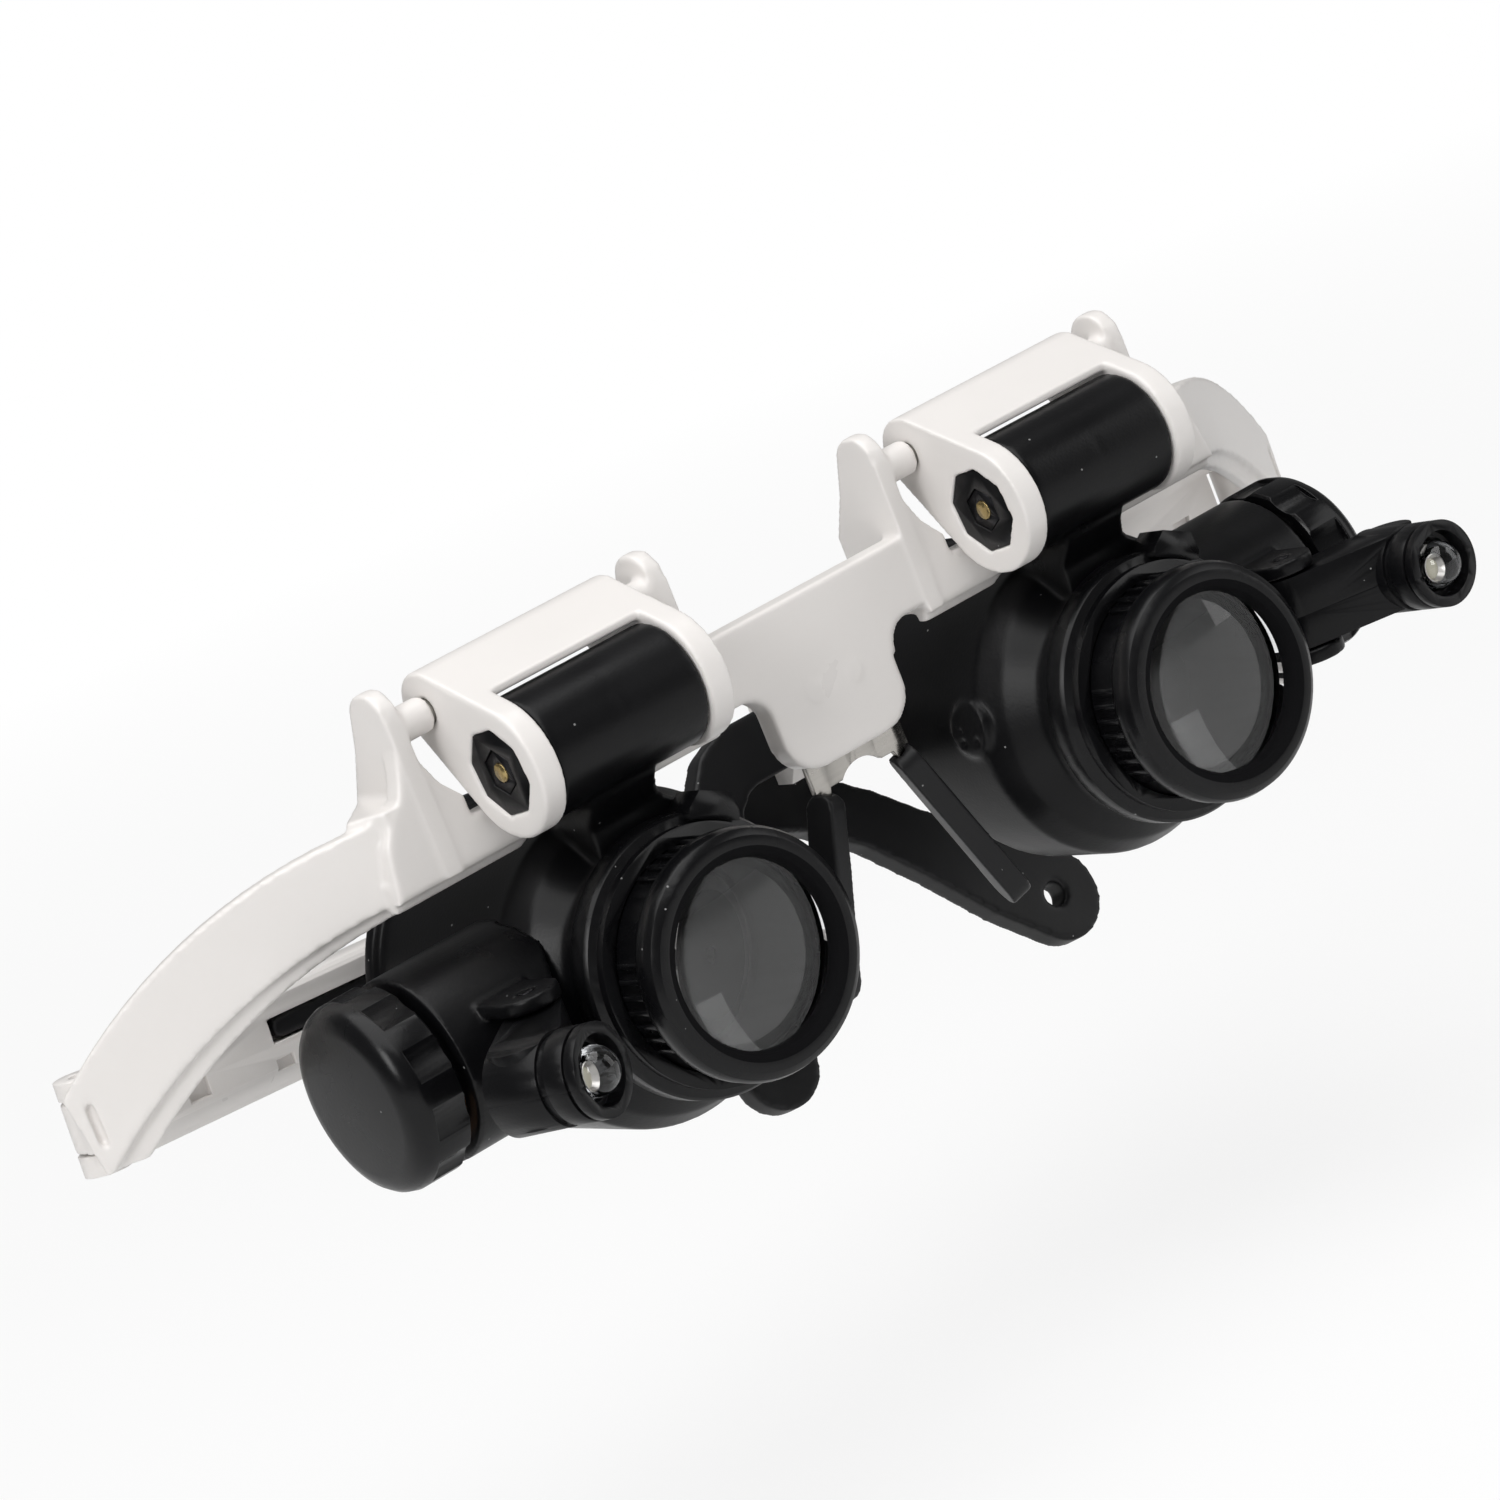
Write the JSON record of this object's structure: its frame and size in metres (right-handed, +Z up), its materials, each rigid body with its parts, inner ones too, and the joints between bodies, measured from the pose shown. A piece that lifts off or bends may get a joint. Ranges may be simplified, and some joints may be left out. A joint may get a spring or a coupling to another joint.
{
  "type": "spectacle loupe magnifier",
  "caption": "Spectacle-style double loupe with flip-up lens barrels, battery lights, folding temples with sliding ear tips, and a nose clip with soft pads",
  "frame": {"origin": "the wearer's nose: midway between the two nose pads' sides, 20 mm behind the plane of the front lens rims, at the height of the two barrel axes", "axes": "+X from the image-left unit to the image-right unit, +Y back towards the wearer along the barrel axes, +Z up"},
  "size_m": [0.169, 0.0625, 0.067],
  "materials": {
    "frame_shell": "satin gloss white ABS, injection moulded",
    "white_sleeve": "satin gloss white ABS, injection moulded",
    "white_bracket": "satin gloss white ABS, injection moulded",
    "black_body": "fine satin grain, injection moulded",
    "black_gloss": "semi-gloss injection moulded",
    "black_soft": "soft matt moulding",
    "lens_glass": "polished, coated",
    "steel": "bright zinc-plated",
    "sheet_steel": "nickel-plated spring sheet",
    "copper_contact": "plain phosphor bronze",
    "cell_steel": "nickel-plated can",
    "led_epoxy": "clear moulded epoxy"
  },
  "bodies": {
    "frame": {"frame_front": "frame_shell", "nose_clip": "sheet_steel", "nose_clip_screws": "steel", "nose_pad_left": "black_soft", "nose_pad_right": "black_soft", "temple_hinge_pins": "steel", "bracket_pivot_pins": "steel"},
    "temple_left": {"temple_sleeve_left": "white_sleeve"},
    "ear_tip_left": {"ear_tip_left": "black_soft"},
    "bracket_left": {"bracket_left": "white_bracket", "nut_holder_left": "black_body", "tilt_screw_left": "steel", "tilt_nut_left": "steel"},
    "barrel_left": {"barrel_body_left": "black_body", "rear_lens_left": "lens_glass", "rear_retainer_left": "black_body", "battery_housing_left": "black_body", "button_cells_left": "cell_steel", "contact_spring_left": "copper_contact", "contact_plate_left": "copper_contact", "light_pivot_pin_left": "steel"},
    "lock_ring_left": {"lock_ring_left": "black_gloss"},
    "lens_cell_left": {"lens_cell_left": "black_body", "front_lens_left": "lens_glass", "lens_retainer_left": "black_body"},
    "battery_cap_left": {"battery_cap_left": "black_gloss"},
    "light_arm_left": {"light_arm_top_left": "black_body", "light_arm_base_left": "black_body", "led_left": "led_epoxy", "led_leads_left": "copper_contact"},
    "temple_right": {"temple_sleeve_right": "white_sleeve"},
    "ear_tip_right": {"ear_tip_right": "black_soft"},
    "bracket_right": {"bracket_right": "white_bracket", "nut_holder_right": "black_body", "tilt_screw_right": "steel", "tilt_nut_right": "steel"},
    "barrel_right": {"barrel_body_right": "black_body", "rear_lens_right": "lens_glass", "rear_retainer_right": "black_body", "battery_housing_right": "black_body", "button_cells_right": "cell_steel", "contact_spring_right": "copper_contact", "contact_plate_right": "copper_contact", "light_pivot_pin_right": "steel"},
    "lock_ring_right": {"lock_ring_right": "black_gloss"},
    "lens_cell_right": {"lens_cell_right": "black_body", "front_lens_right": "lens_glass", "lens_retainer_right": "black_body"},
    "battery_cap_right": {"battery_cap_right": "black_gloss"},
    "light_arm_right": {"light_arm_top_right": "black_body", "light_arm_base_right": "black_body", "led_right": "led_epoxy", "led_leads_right": "copper_contact"}
  },
  "joints": [
    {"name": "temple_fold_left", "type": "hinge", "parent": "frame", "child": "temple_left", "pos_m": [-0.0806, 0.0281, 0.006], "axis": [0.0802, 0, 0.9968], "range_deg": [0, 95]},
    {"name": "ear_tip_slide_left", "type": "slide", "parent": "temple_left", "child": "ear_tip_left", "axis": [0.9948, 0.0628, -0.08], "range_m": [0, 0.012]},
    {"name": "flip_up_left", "type": "hinge", "parent": "frame", "child": "bracket_left", "pos_m": [-0.032, 0.0004, 0.032], "axis": [-1, 0, 0], "range_deg": [0, 80]},
    {"name": "barrel_tilt_left", "type": "hinge", "parent": "bracket_left", "child": "barrel_left", "pos_m": [-0.032, -0.0079, 0.025], "axis": [-1, 0, 0], "range_deg": [-1, 20]},
    {"name": "lock_ring_twist_left", "type": "hinge", "parent": "barrel_left", "child": "lock_ring_left", "pos_m": [-0.032, -0.01, 0], "axis": [0, 1, 0], "range_deg": [0, 30]},
    {"name": "lens_cell_pull_left", "type": "slide", "parent": "barrel_left", "child": "lens_cell_left", "axis": [0, -1, 0], "range_m": [0, 0.02]},
    {"name": "battery_cap_turn_left", "type": "hinge", "parent": "barrel_left", "child": "battery_cap_left", "pos_m": [-0.062, 0.0027, 0.0008], "axis": [1, 0, 0], "range_deg": [0, 60]},
    {"name": "light_arm_swing_left", "type": "hinge", "parent": "barrel_left", "child": "light_arm_left", "pos_m": [-0.0519, -0.0104, 0], "axis": [0, 0, -1], "range_deg": [-6, 25]},
    {"name": "temple_fold_right", "type": "hinge", "parent": "frame", "child": "temple_right", "pos_m": [0.0806, 0.0281, 0.006], "axis": [0, 0, -1], "range_deg": [0, 92]},
    {"name": "ear_tip_slide_right", "type": "slide", "parent": "temple_right", "child": "ear_tip_right", "axis": [-1, 0, 0], "range_m": [0, 0.012]},
    {"name": "flip_up_right", "type": "hinge", "parent": "frame", "child": "bracket_right", "pos_m": [0.032, 0.0004, 0.032], "axis": [-1, 0, 0], "range_deg": [0, 80]},
    {"name": "barrel_tilt_right", "type": "hinge", "parent": "bracket_right", "child": "barrel_right", "pos_m": [0.032, -0.0079, 0.025], "axis": [-1, 0, 0], "range_deg": [-1, 20]},
    {"name": "lock_ring_twist_right", "type": "hinge", "parent": "barrel_right", "child": "lock_ring_right", "pos_m": [0.032, -0.01, 0], "axis": [0, 1, 0], "range_deg": [0, 30]},
    {"name": "lens_cell_pull_right", "type": "slide", "parent": "barrel_right", "child": "lens_cell_right", "axis": [0, -1, 0], "range_m": [0, 0.02]},
    {"name": "battery_cap_turn_right", "type": "hinge", "parent": "barrel_right", "child": "battery_cap_right", "pos_m": [0.062, 0.0027, 0.0008], "axis": [1, 0, 0], "range_deg": [0, 60]},
    {"name": "light_arm_swing_right", "type": "hinge", "parent": "barrel_right", "child": "light_arm_right", "pos_m": [0.0519, -0.0104, 0], "axis": [0, 0, 1], "range_deg": [-25, 6]}
  ]
}
